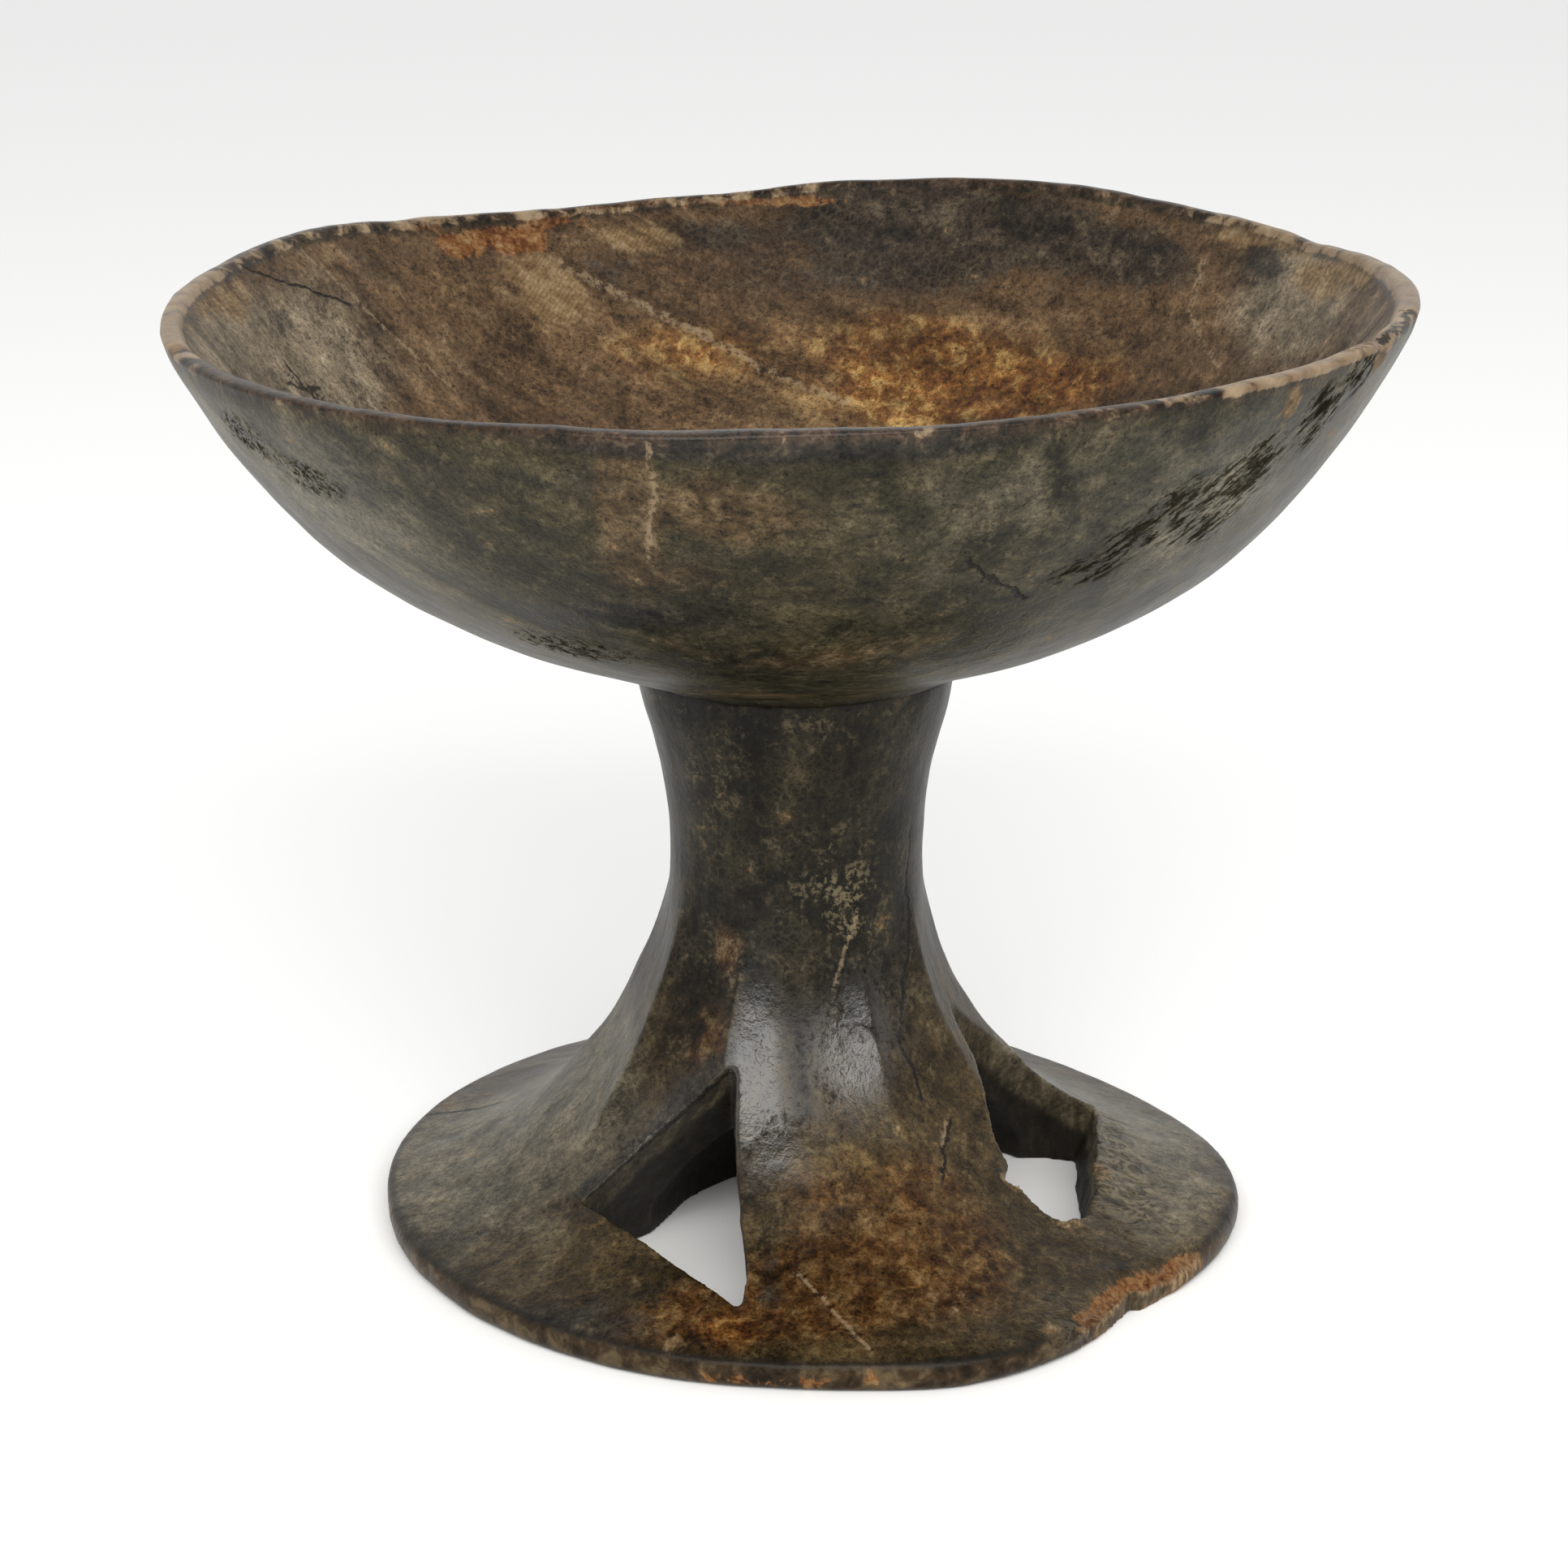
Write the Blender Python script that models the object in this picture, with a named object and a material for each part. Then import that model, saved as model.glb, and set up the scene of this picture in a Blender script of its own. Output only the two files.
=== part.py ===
# Pedestal bowl carved from one block of wood: an open bowl, a waisted stem and a
# flared foot that is hollowed from below and pierced by three three-sided windows.
# Metres, Z up. The origin is on the floor, under the middle of the bowl's rim.
import math

import bmesh
import bpy

# Driving dimensions, in metres
SHOULDER_Z = 0.1830        # carved line where the bowl sits on the stem
SEAM_Z = 0.0920            # height where the stem starts to flare into the foot
GAP = 0.0003               # clearance between touching regions
RIM_Z = 0.2975             # mean height of the lip
RIM_TILT = 0.0236          # rise of the rim per metre towards +X

# Outside of the bowl, from the shoulder to the lip: (radius, height)
BOWL_OUTSIDE = ((0.0525, SHOULDER_Z), (0.0545, 0.1865), (0.0640, 0.1888), (0.0800, 0.1950),
                (0.1050, 0.2048), (0.1300, 0.2190), (0.1500, 0.2366), (0.1680, 0.2590),
                (0.1800, 0.2780), (0.1870, 0.2895))
# Rounded lip, from outside to inside
LIP = ((0.1882, 0.2940), (0.1868, 0.2970), (0.1840, RIM_Z), (0.1808, 0.2968), (0.1785, 0.2945))
# Inside of the bowl, from the lip down to the middle of the floor
BOWL_INSIDE = ((0.1715, 0.2835), (0.1595, 0.2653), (0.1420, 0.2447), (0.1235, 0.2290),
               (0.1000, 0.2160), (0.0750, 0.2075), (0.0400, 0.2040))
BOWL_FLOOR_Z = 0.2030

# Stem, from its top under the shoulder down to the seam
STEM = ((0.0498, SHOULDER_Z - GAP), (0.0502, 0.1790), (0.0475, 0.1690), (0.0430, 0.1500),
        (0.0407, 0.1310), (0.0408, 0.1110), (0.0446, SEAM_Z + GAP))

# Outside of the flared foot, from the seam down to the floor
FOOT = ((0.0446, SEAM_Z), (0.0512, 0.0750), (0.0595, 0.0600), (0.0695, 0.0470),
        (0.0900, 0.0270), (0.1100, 0.0160), (0.1320, 0.0088), (0.1342, 0.0070),
        (0.1345, 0.0030), (0.1330, 0.0))

# The axis leans: position of the axis at rising heights (height, x, y)
AXIS = ((0.0, 0.0054, -0.0062), (0.0750, 0.0014, -0.0046), (0.1300, 0.0030, -0.0034),
        (0.1800, 0.0021, -0.0023), (0.2900, 0.0, 0.0))

# Waves of the hand-cut rim: (direction in degrees, width in degrees, height)
RIM_WAVES = ((68.0, 27.0, 0.0070), (152.0, 24.0, 0.0062), (182.0, 14.0, 0.0018))

# Uneven outline of the foot: (direction in degrees, width in degrees, change of radius)
FOOT_WAVES = ((-66.0, 15.0, 0.0065), (-6.0, 22.0, 0.0068), (45.0, 22.0, -0.0078),
              (165.0, 32.0, 0.0030))

# Oval hollow under the foot: centre, direction of its long axis, and (height, half length,
# half width) from the floor up
HOLLOW_CENTRE = (0.0204, -0.0312)
HOLLOW_TURN = math.radians(43.0)
HOLLOW = ((-0.0100, 0.0785, 0.0550), (0.0100, 0.0755, 0.0530), (0.0200, 0.0680, 0.0480),
          (0.0300, 0.0580, 0.0410), (0.0380, 0.0450, 0.0320), (0.0450, 0.0240, 0.0170))

# Windows: corners on the outside of the foot, and the same corners under the floor
LEFT_WINDOW = ((-0.0647, -0.0661, 0.0260), (-0.0145, -0.1167, 0.0150),
               (-0.0167, -0.0563, 0.0683))
LEFT_WINDOW_FOOT = ((-0.0550, -0.0450), (-0.0120, -0.0980), (-0.0180, -0.0050))
RIGHT_WINDOW = ((0.0520, -0.0170, 0.0780), (0.0620, -0.0370, 0.0500), (0.0700, -0.0600, 0.0320),
                (0.0860, -0.0670, 0.0205), (0.0970, -0.0580, 0.0180), (0.1030, 0.0190, 0.0205),
                (0.0890, 0.0230, 0.0270), (0.0740, 0.0070, 0.0440))
RIGHT_WINDOW_FOOT = ((0.0450, -0.0170), (0.0530, -0.0380), (0.0600, -0.0580),
                     (0.0800, -0.0660), (0.0920, -0.0500), (0.0950, 0.0200),
                     (0.0850, 0.0240), (0.0660, 0.0180))
BACK_WINDOW = ((-0.0190, 0.0440, 0.0690), (0.0020, 0.0950, 0.0210), (-0.0600, 0.0720, 0.0210))
BACK_WINDOW_FOOT = ((0.0060, 0.0050), (0.0040, 0.0820), (-0.0480, 0.0620))
WINDOW_REACH = 1.9         # how far past the outside the cutters start

# Worn bite out of the foot's edge at the front right
BITE_DIRECTION = math.radians(-40.5)
BITE_CENTRE_R = 0.1440
BITE_RADIUS = 0.0138

BOWL_SEGMENTS = 72
STEM_SEGMENTS = 48
FOOT_SEGMENTS = 72
BOTTOM_OF_CUTTERS = -0.0100


def clear_scene():
    for obj in list(bpy.data.objects):
        bpy.data.objects.remove(obj, do_unlink=True)


def axis_at(height):
    """Axis position at a height, straight between the listed points."""
    low = AXIS[0]
    for high in AXIS[1:]:
        if height <= high[0]:
            t = max(0.0, (height - low[0]) / (high[0] - low[0]))
            return low[1] + t * (high[1] - low[1]), low[2] + t * (high[2] - low[2])
        low = high
    return low[1], low[2]


def rim_lift(x, angle, height):
    """Tilt and hand-cut waves, fading out down the wall of the bowl."""
    share = min(1.0, max(0.0, (height - SHOULDER_Z) / (RIM_Z - SHOULDER_Z)))
    lift = share * RIM_TILT * x
    for direction, width, wave in RIM_WAVES:
        turn = (math.degrees(angle) - direction + 180.0) % 360.0 - 180.0
        lift += share * share * wave * math.exp(-(turn / width) ** 2)
    return lift


def edge_change(radius, angle):
    """Change of the foot's radius with direction, fading out towards the stem."""
    share = min(1.0, max(0.0, (radius - 0.0600) / 0.0750))
    change = 0.0
    for direction, width, wave in FOOT_WAVES:
        turn = (math.degrees(angle) - direction + 180.0) % 360.0 - 180.0
        change += share * wave * math.exp(-(turn / width) ** 2)
    return change


def material(name, colour, roughness):
    mat = bpy.data.materials.new(name)
    mat.use_nodes = True
    shader = mat.node_tree.nodes["Principled BSDF"]
    shader.inputs["Base Color"].default_value = (*colour, 1.0)
    shader.inputs["Roughness"].default_value = roughness
    shader.inputs["Metallic"].default_value = 0.0
    return mat


def turned_body(name, rings, segments, top_middle, bottom_middle, bent=False, uneven=False):
    """Closed body swept round the leaning axis from rings of (radius, height)."""
    mesh = bpy.data.meshes.new(name)
    bm = bmesh.new()
    loops = []
    for radius, height in rings:
        ax, ay = axis_at(height)
        loop = []
        for i in range(segments):
            angle = 2.0 * math.pi * i / segments
            reach = radius + (edge_change(radius, angle) if uneven else 0.0)
            x = reach * math.cos(angle)
            y = reach * math.sin(angle)
            z = height + (rim_lift(x, angle, height) if bent else 0.0)
            loop.append(bm.verts.new((ax + x, ay + y, z)))
        loops.append(loop)
    for upper, lower in zip(loops, loops[1:]):
        for i in range(segments):
            j = (i + 1) % segments
            bm.faces.new((upper[i], lower[i], lower[j], upper[j]))
    for loop, height in ((loops[0], top_middle), (loops[-1], bottom_middle)):
        ax, ay = axis_at(height)
        middle = bm.verts.new((ax, ay, height))
        for i in range(segments):
            bm.faces.new((loop[i], loop[(i + 1) % segments], middle))
    bmesh.ops.recalc_face_normals(bm, faces=bm.faces)
    bm.to_mesh(mesh)
    bm.free()
    obj = bpy.data.objects.new(name, mesh)
    bpy.context.scene.collection.objects.link(obj)
    return obj


def lofted_cutter(name, loops):
    """Closed cutter through matching loops of points."""
    mesh = bpy.data.meshes.new(name)
    bm = bmesh.new()
    rows = [[bm.verts.new(point) for point in loop] for loop in loops]
    count = len(rows[0])
    for upper, lower in zip(rows, rows[1:]):
        for i in range(count):
            j = (i + 1) % count
            bm.faces.new((upper[i], lower[i], lower[j], upper[j]))
    bm.faces.new(rows[0])
    bm.faces.new(rows[-1])
    bmesh.ops.recalc_face_normals(bm, faces=bm.faces)
    bm.to_mesh(mesh)
    bm.free()
    obj = bpy.data.objects.new(name, mesh)
    bpy.context.scene.collection.objects.link(obj)
    obj.hide_render = True
    obj.display_type = "WIRE"
    return obj


def window_cutter(name, outer, inner):
    """Window cutter: it starts outside the foot and runs down below the floor."""
    low = [(x, y, BOTTOM_OF_CUTTERS) for x, y in inner]
    start = []
    for (ox, oy, oz), (ix, iy, iz) in zip(outer, low):
        start.append((ix + (ox - ix) * WINDOW_REACH, iy + (oy - iy) * WINDOW_REACH,
                      iz + (oz - iz) * WINDOW_REACH))
    return lofted_cutter(name, (start, low))


def hollow_cutter():
    loops = []
    for height, half_length, half_width in HOLLOW:
        loop = []
        for i in range(40):
            angle = 2.0 * math.pi * i / 40
            u = half_length * math.cos(angle)
            v = half_width * math.sin(angle)
            x = HOLLOW_CENTRE[0] + u * math.cos(HOLLOW_TURN) - v * math.sin(HOLLOW_TURN)
            y = HOLLOW_CENTRE[1] + u * math.sin(HOLLOW_TURN) + v * math.cos(HOLLOW_TURN)
            loop.append((x, y, height))
        loops.append(loop)
    return lofted_cutter("hollow_cutter", loops)


def bite_cutter():
    cx = AXIS[0][1] + BITE_CENTRE_R * math.cos(BITE_DIRECTION)
    cy = AXIS[0][2] + BITE_CENTRE_R * math.sin(BITE_DIRECTION)
    loops = []
    for height in (-0.01, 0.02):
        loops.append([(cx + BITE_RADIUS * math.cos(2.0 * math.pi * i / 12),
                       cy + BITE_RADIUS * math.sin(2.0 * math.pi * i / 12), height)
                      for i in range(12)])
    return lofted_cutter("bite_cutter", loops)


def cut(body, cutter):
    modifier = body.modifiers.new(cutter.name, "BOOLEAN")
    modifier.operation = "DIFFERENCE"
    modifier.solver = "EXACT"
    modifier.object = cutter


def finish_body(obj, mat):
    obj.data.materials.append(mat)
    for polygon in obj.data.polygons:
        polygon.use_smooth = True
    obj.data.set_sharp_from_angle(angle=math.radians(35.0))


clear_scene()

bowl_rings = tuple(reversed(BOWL_INSIDE)) + tuple(reversed(LIP)) + tuple(reversed(BOWL_OUTSIDE))
bowl = turned_body("bowl", bowl_rings, BOWL_SEGMENTS, BOWL_FLOOR_Z, SHOULDER_Z, bent=True)
finish_body(bowl, material("bowl_wood", (0.125, 0.105, 0.065), 0.45))

stem = turned_body("stem", STEM, STEM_SEGMENTS, SHOULDER_Z - GAP, SEAM_Z + GAP)
finish_body(stem, material("stem_wood", (0.075, 0.062, 0.042), 0.42))

foot = turned_body("foot", FOOT, FOOT_SEGMENTS, SEAM_Z, 0.0, uneven=True)
finish_body(foot, material("foot_wood", (0.120, 0.088, 0.050), 0.45))
cut(foot, hollow_cutter())
cut(foot, window_cutter("left_window_cutter", LEFT_WINDOW, LEFT_WINDOW_FOOT))
cut(foot, window_cutter("right_window_cutter", RIGHT_WINDOW, RIGHT_WINDOW_FOOT))
cut(foot, window_cutter("back_window_cutter", BACK_WINDOW, BACK_WINDOW_FOOT))
cut(foot, bite_cutter())
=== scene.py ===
import math

import bmesh
import bpy
import numpy as np
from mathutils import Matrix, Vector


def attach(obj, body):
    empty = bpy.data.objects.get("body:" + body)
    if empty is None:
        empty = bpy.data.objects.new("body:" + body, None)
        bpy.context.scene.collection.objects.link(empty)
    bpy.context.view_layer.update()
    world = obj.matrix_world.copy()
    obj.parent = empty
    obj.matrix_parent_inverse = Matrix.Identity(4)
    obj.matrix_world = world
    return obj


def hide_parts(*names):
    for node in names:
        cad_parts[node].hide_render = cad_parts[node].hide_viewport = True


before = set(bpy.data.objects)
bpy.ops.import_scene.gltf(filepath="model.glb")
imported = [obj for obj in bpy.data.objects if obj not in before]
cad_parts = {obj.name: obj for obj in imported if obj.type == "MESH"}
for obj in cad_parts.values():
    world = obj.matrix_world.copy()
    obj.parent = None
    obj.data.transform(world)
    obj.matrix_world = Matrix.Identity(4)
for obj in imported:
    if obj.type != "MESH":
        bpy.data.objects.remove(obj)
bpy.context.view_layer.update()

# -------- measures, in metres
MM = 0.001
SHOULDER_Z = 0.183
SEAM_Z = 0.092
RIM_Z = 0.2975
RIM_TILT = 0.0236
LIP_Z = 0.2965
LIP_TOP_Z = 0.2972
JOIN_BAND = 0.0022
JOIN_RADIUS = 0.0565
JOIN_FADE = (0.052, 0.07)
BOWL_OUTSIDE = (
    (0.0525, SHOULDER_Z), (0.0548, 0.1868), (0.064, 0.1888), (0.08, 0.195), (0.105, 0.2048),
    (0.13, 0.219), (0.15, 0.2366), (0.168, 0.259), (0.18, 0.278), (0.1868, 0.2905))
LIP = (
    (0.1882, 0.2948), (0.1885, 0.2966), (0.1876, 0.2974), (0.184, 0.2976), (0.1828, 0.2968),
    (0.1815, 0.295))
BOWL_INSIDE = (
    (0.1785, 0.2913), (0.1725, 0.284), (0.1595, 0.2653), (0.142, 0.2447), (0.1235, 0.229),
    (0.1, 0.216), (0.075, 0.2075), (0.04, 0.204))
BOWL_FLOOR_Z = 0.203
COLUMN = (
    (0.0499, 0.1827), (0.0496, 0.18), (0.0478, 0.171), (0.0446, 0.159), (0.0426, 0.148),
    (0.0407, 0.131), (0.0408, 0.111), (0.0446, SEAM_Z), (0.0512, 0.075), (0.0595, 0.06),
    (0.0695, 0.047), (0.09, 0.027), (0.11, 0.016), (0.1325, 0.0092))
FOOT_EDGE = ((0.1343, 0.008), (0.1346, 0.0045), (0.1338, 0.0012), (0.1318, 0))
AXIS = (
    (0, 0.0054, -0.0062), (0.075, 0.0014, -0.0046), (0.13, 0.003, -0.0034),
    (0.18, 0.0021, -0.0023), (0.29, 0, 0))
FOOT_X, FOOT_Y = AXIS[0][1:]
RIM_WAVES = ((68, 27, 0.007), (152, 24, 0.0062), (182, 14, 0.0018))
FOOT_WAVES = ((-66, 15, 0.0065), (-6, 22, 0.0068), (45, 22, -0.0078), (165, 32, 0.003))
HOLLOW_CENTRE = (0.0204, -0.0312)
HOLLOW_TURN = math.radians(43.0)
HOLLOW = (
    (-0.01, 0.0785, 0.055), (0.01, 0.0755, 0.053), (0.02, 0.068, 0.048), (0.03, 0.058, 0.041),
    (0.038, 0.045, 0.032), (0.045, 0.024, 0.017))

# Windows in the foot, in millimetres: (x, y, z of a point on the outside, x, y under the floor)
LEFT_WINDOW = ((-64.7, -66.1, 26.2, -56, -44), (-52.8, -79.6, 25.1, -48, -56),
    (-42.4, -90.3, 23.2, -39, -68), (-29.8, -102.7, 19.8, -27, -82),
    (-14.5, -116.9, 15.1, -13, -98), (-13, -105.5, 20.7, -12, -85),
    (-14.3, -88.9, 31.5, -12.5, -64), (-16.4, -69.5, 49.6, -14, -30),
    (-16.6, -56.3, 68.5, -16, -5), (-30.6, -58, 56, -23, -11), (-43.3, -59.6, 45.1, -33, -19),
    (-53.3, -63.1, 35.7, -44, -30))
RIGHT_WINDOW = ((51.5, -17.5, 79, 43, -17), (59.7, -25.8, 58, 49, -26),
    (62.5, -37.5, 49.1, 52, -36), (65.4, -48, 41.2, 55, -44), (69.7, -55.1, 34.2, 60, -52),
    (65.8, -62, 33, 62, -61), (72, -60.2, 29.6, 66, -58.5), (80.4, -65.7, 23.3, 76, -64),
    (85.9, -67, 20.6, 83, -65), (93.1, -60.3, 19.6, 88.5, -57), (96.5, -49.7, 21, 90, -45),
    (98.7, -34.7, 23.3, 92, -30), (102.6, 17, 21.5, 92, 20), (91.2, 15, 28.9, 85, 24),
    (79.5, 8, 40.9, 74, 23), (68.1, -1, 52.6, 60, 18))
BACK_WINDOW = ((-19, 44, 69, 6, 5), (-7, 72, 38, 5, 42), (2, 95, 21, 4, 82),
    (-31, 87, 21.5, -23, 74), (-60, 72, 21, -48, 62), (-39, 60, 40, -22, 34))
# Where the foot's edge is broken away: (direction in degrees, radius left)
BITE = np.array((
    (-66, 0.148), (-58, 0.14), (-52, 0.1362), (-46, 0.1328), (-41.5, 0.13), (-39.8, 0.1296),
    (-38.6, 0.1322), (-35, 0.1334), (-30, 0.1362), (-26, 0.1395), (-18, 0.148)))
BITE_RANGE = (-66, -18)
BITE_TURN = -40.0
BITE_SPREAD = 15.0
BITE_SLOPE = 0.05
BITE_LEVEL = 0.004
BITE_TOP = 0.026
BITE_REACH = 0.165
WINDOW_REACH = 1.9
WINDOW_STEP = 0.0035
CUTTER_BOTTOM = -0.01
UNDER_RADII = (0.03, 0.04, 0.05)
# Notches in the lip: (direction in degrees, width in degrees, share of the depth)
NOTCHES = ((-27, 1.6, 1), (24, 2.5, 0.5), (136, 3, 0.4), (-160, 1.5, 0.4))
NOTCH_DEPTH = 0.0022
# Adzed facets of the flare, in degrees, and the groove between the two front ones
FACET_EDGES = (-148, -112, -87, -61, -28, 8, 46, 84, 122, 166, 212)
GROOVE_TURN = -87.0
GROOVE_WIDTH = 2.6
GROOVE_DEPTH = 0.001
FLARE_START = 0.06
FLARE_SPAN = 0.075
FOOT_RADIUS = 0.134
BORDER_Z = 0.012
STEM_TOP_Z = 0.1822
# Depths where a cut face and the painted shade of the hollow begin and are full
CUT_FADE = (0.0009, 0.0022)
DEEP_FADE = (0.0085, 0.013)

# Carved unevenness: (height in metres, size of the lumps in metres, shift of the noise)
BOWL_LUMPS = ((0.0009, 0.075, 1), (0.0004, 0.028, 2), (0.00014, 0.01, 3))
LIP_LUMPS = ((0.0004, 0.03, 4), (0.00015, 0.007, 5))
COLUMN_LUMPS = ((0.0006, 0.045, 7), (0.0003, 0.018, 8), (0.00012, 0.007, 9))

# How finely the shapes are sampled
BOWL_STEPS = 760
COLUMN_STEPS = 300
OUTSIDE_STEP = 0.0014
LIP_STEP = 0.0005
INSIDE_STEP = 0.0015
VOXEL = 0.0012


# -------- numeric helpers
LATTICE_CELLS = 48
LATTICE = np.random.default_rng(11).random((LATTICE_CELLS,) * 3) * 2.0 - 1.0
NOISE_SHIFT = (17.31, 5.17, 9.73)


def noise(points, size, shift=0.0):
    """Smooth value noise from -1 to 1, with lumps of about the given size in metres."""
    place = points / size + np.array(NOISE_SHIFT) * shift
    cell = np.floor(place).astype(int)
    f = place - cell
    f = f * f * (3.0 - 2.0 * f)
    total = 0.0
    for corner in np.ndindex(2, 2, 2):
        w = np.where(corner, f, 1.0 - f)
        x, y, z = ((cell + corner) % LATTICE_CELLS).T
        total = total + w[:, 0] * w[:, 1] * w[:, 2] * LATTICE[x, y, z]
    return total


def uneven(points, table):
    """Sum of noises, each (height, size, shift)."""
    return sum(height * noise(points, size, shift) for height, size, shift in table)


def smooth_step(value, low, high):
    t = np.clip((value - low) / (high - low), 0.0, 1.0)
    return t * t * (3.0 - 2.0 * t)


def between(t, start, end, a, b):
    return (end - t) / (end - start) * a + (t - start) / (end - start) * b


def smooth_curve(points, step):
    """Catmull-Rom curve through (radius, height) points, resampled at even steps."""
    p = np.array(points, float)
    ends = np.vstack((2 * p[0] - p[1], p, 2 * p[-1] - p[-2]))
    fine = []
    for i in range(1, len(ends) - 2):
        p0, p1, p2, p3 = ends[i - 1:i + 3]
        t0 = 0.0
        t1 = t0 + np.linalg.norm(p1 - p0) ** 0.5
        t2 = t1 + np.linalg.norm(p2 - p1) ** 0.5
        t3 = t2 + np.linalg.norm(p3 - p2) ** 0.5
        t = np.linspace(t1, t2, 24, endpoint=False)[:, None]
        a1 = between(t, t0, t1, p0, p1)
        a2 = between(t, t1, t2, p1, p2)
        a3 = between(t, t2, t3, p2, p3)
        b1 = between(t, t0, t2, a1, a2)
        b2 = between(t, t1, t3, a2, a3)
        fine.append(between(t, t1, t2, b1, b2))
    fine = np.vstack(fine + [p[-1:]])
    run = np.concatenate(([0.0], np.cumsum(np.linalg.norm(np.diff(fine, axis=0), axis=1))))
    at = np.linspace(0.0, run[-1], max(2, int(round(run[-1] / step)) + 1))
    return np.stack((np.interp(at, run, fine[:, 0]), np.interp(at, run, fine[:, 1])), 1)


def axis_at(z):
    table = np.array(AXIS)
    return np.interp(z, table[:, 0], table[:, 1]), np.interp(z, table[:, 0], table[:, 2])


def polar(points, x, y):
    """Direction in radians and distance of points around an upright axis."""
    dx = points[:, 0] - x
    dy = points[:, 1] - y
    return np.arctan2(dy, dx), np.hypot(dx, dy)


def waves(angle, table):
    total = 0.0
    for direction, width, height in table:
        turn = (np.degrees(angle) - direction + 180.0) % 360.0 - 180.0
        total = total + height * np.exp(-(turn / width) ** 2)
    return total


def foot_change(radius, angle):
    share = np.clip((radius - FLARE_START) / FLARE_SPAN, 0.0, 1.0)
    return share * waves(angle, FOOT_WAVES)


def bell(value, middle, width, power=2):
    return np.exp(-(np.abs((value - middle) / width)) ** power)


def blobs(points, table):
    """Sum of soft lumps, each (x, y, z, size x, size y, size z, strength), in millimetres."""
    total = np.zeros(len(points))
    for *lump, strength in table:
        lump = np.array(lump) * MM
        total += strength * np.exp(-np.sum(((points - lump[:3]) / lump[3:]) ** 2, axis=1))
    return total


def grid_normals(grid):
    """Normals of a (rows, around, 3) grid that is closed around."""
    along = np.gradient(grid, axis=0)
    around = np.roll(grid, -1, axis=1) - np.roll(grid, 1, axis=1)
    n = np.cross(around, along)
    return n / np.maximum(np.linalg.norm(n, axis=2, keepdims=True), 1e-12)


def new_object(name, data):
    obj = bpy.data.objects.new(name, data)
    bpy.context.scene.collection.objects.link(obj)
    return obj


def write_mesh(bm, mesh):
    bmesh.ops.recalc_face_normals(bm, faces=bm.faces)
    bm.to_mesh(mesh)
    bm.free()


def grid_mesh(name, grid, first_pole, last_pole):
    rows, around = grid.shape[:2]
    verts = np.vstack((grid.reshape(-1, 3), first_pole, last_pole))
    i = np.arange(rows - 1)[:, None] * around
    j = np.arange(around)[None, :]
    k = (j + 1) % around
    quads = np.stack((i + j, i + k, i + around + k, i + around + j), -1).reshape(-1, 4)
    ring = np.arange(around)
    nxt = (ring + 1) % around
    first = np.full(around, rows * around)
    last = np.full(around, rows * around + 1)
    base = (rows - 1) * around
    tris = np.vstack((np.stack((nxt, ring, first), 1),
                      np.stack((base + ring, base + nxt, last), 1)))
    mesh = bpy.data.meshes.new(name)
    mesh.from_pydata(verts.tolist(), [], quads.tolist() + tris.tolist())
    mesh.update()
    return mesh


def vectors(items, name):
    """The named vector of every item, one row each."""
    flat = np.empty(len(items) * 3)
    items.foreach_get(name, flat)
    return flat.reshape(-1, 3)


def set_mask(mesh, name, values):
    layer = mesh.attributes.get(name) or mesh.attributes.new(name, "FLOAT", "POINT")
    layer.data.foreach_set("value", np.clip(values, 0.0, 1.0).astype(np.float32))


def get_mask(mesh, name):
    values = np.empty(len(mesh.vertices), np.float32)
    mesh.attributes[name].data.foreach_get("value", values)
    return values.astype(float)


# -------- bowl
def rim_lift(x, angle, z):
    share = np.clip((z - SHOULDER_Z) / (RIM_Z - SHOULDER_Z), 0.0, 1.0)
    return share * RIM_TILT * x + share * share * waves(angle, RIM_WAVES)


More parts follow.
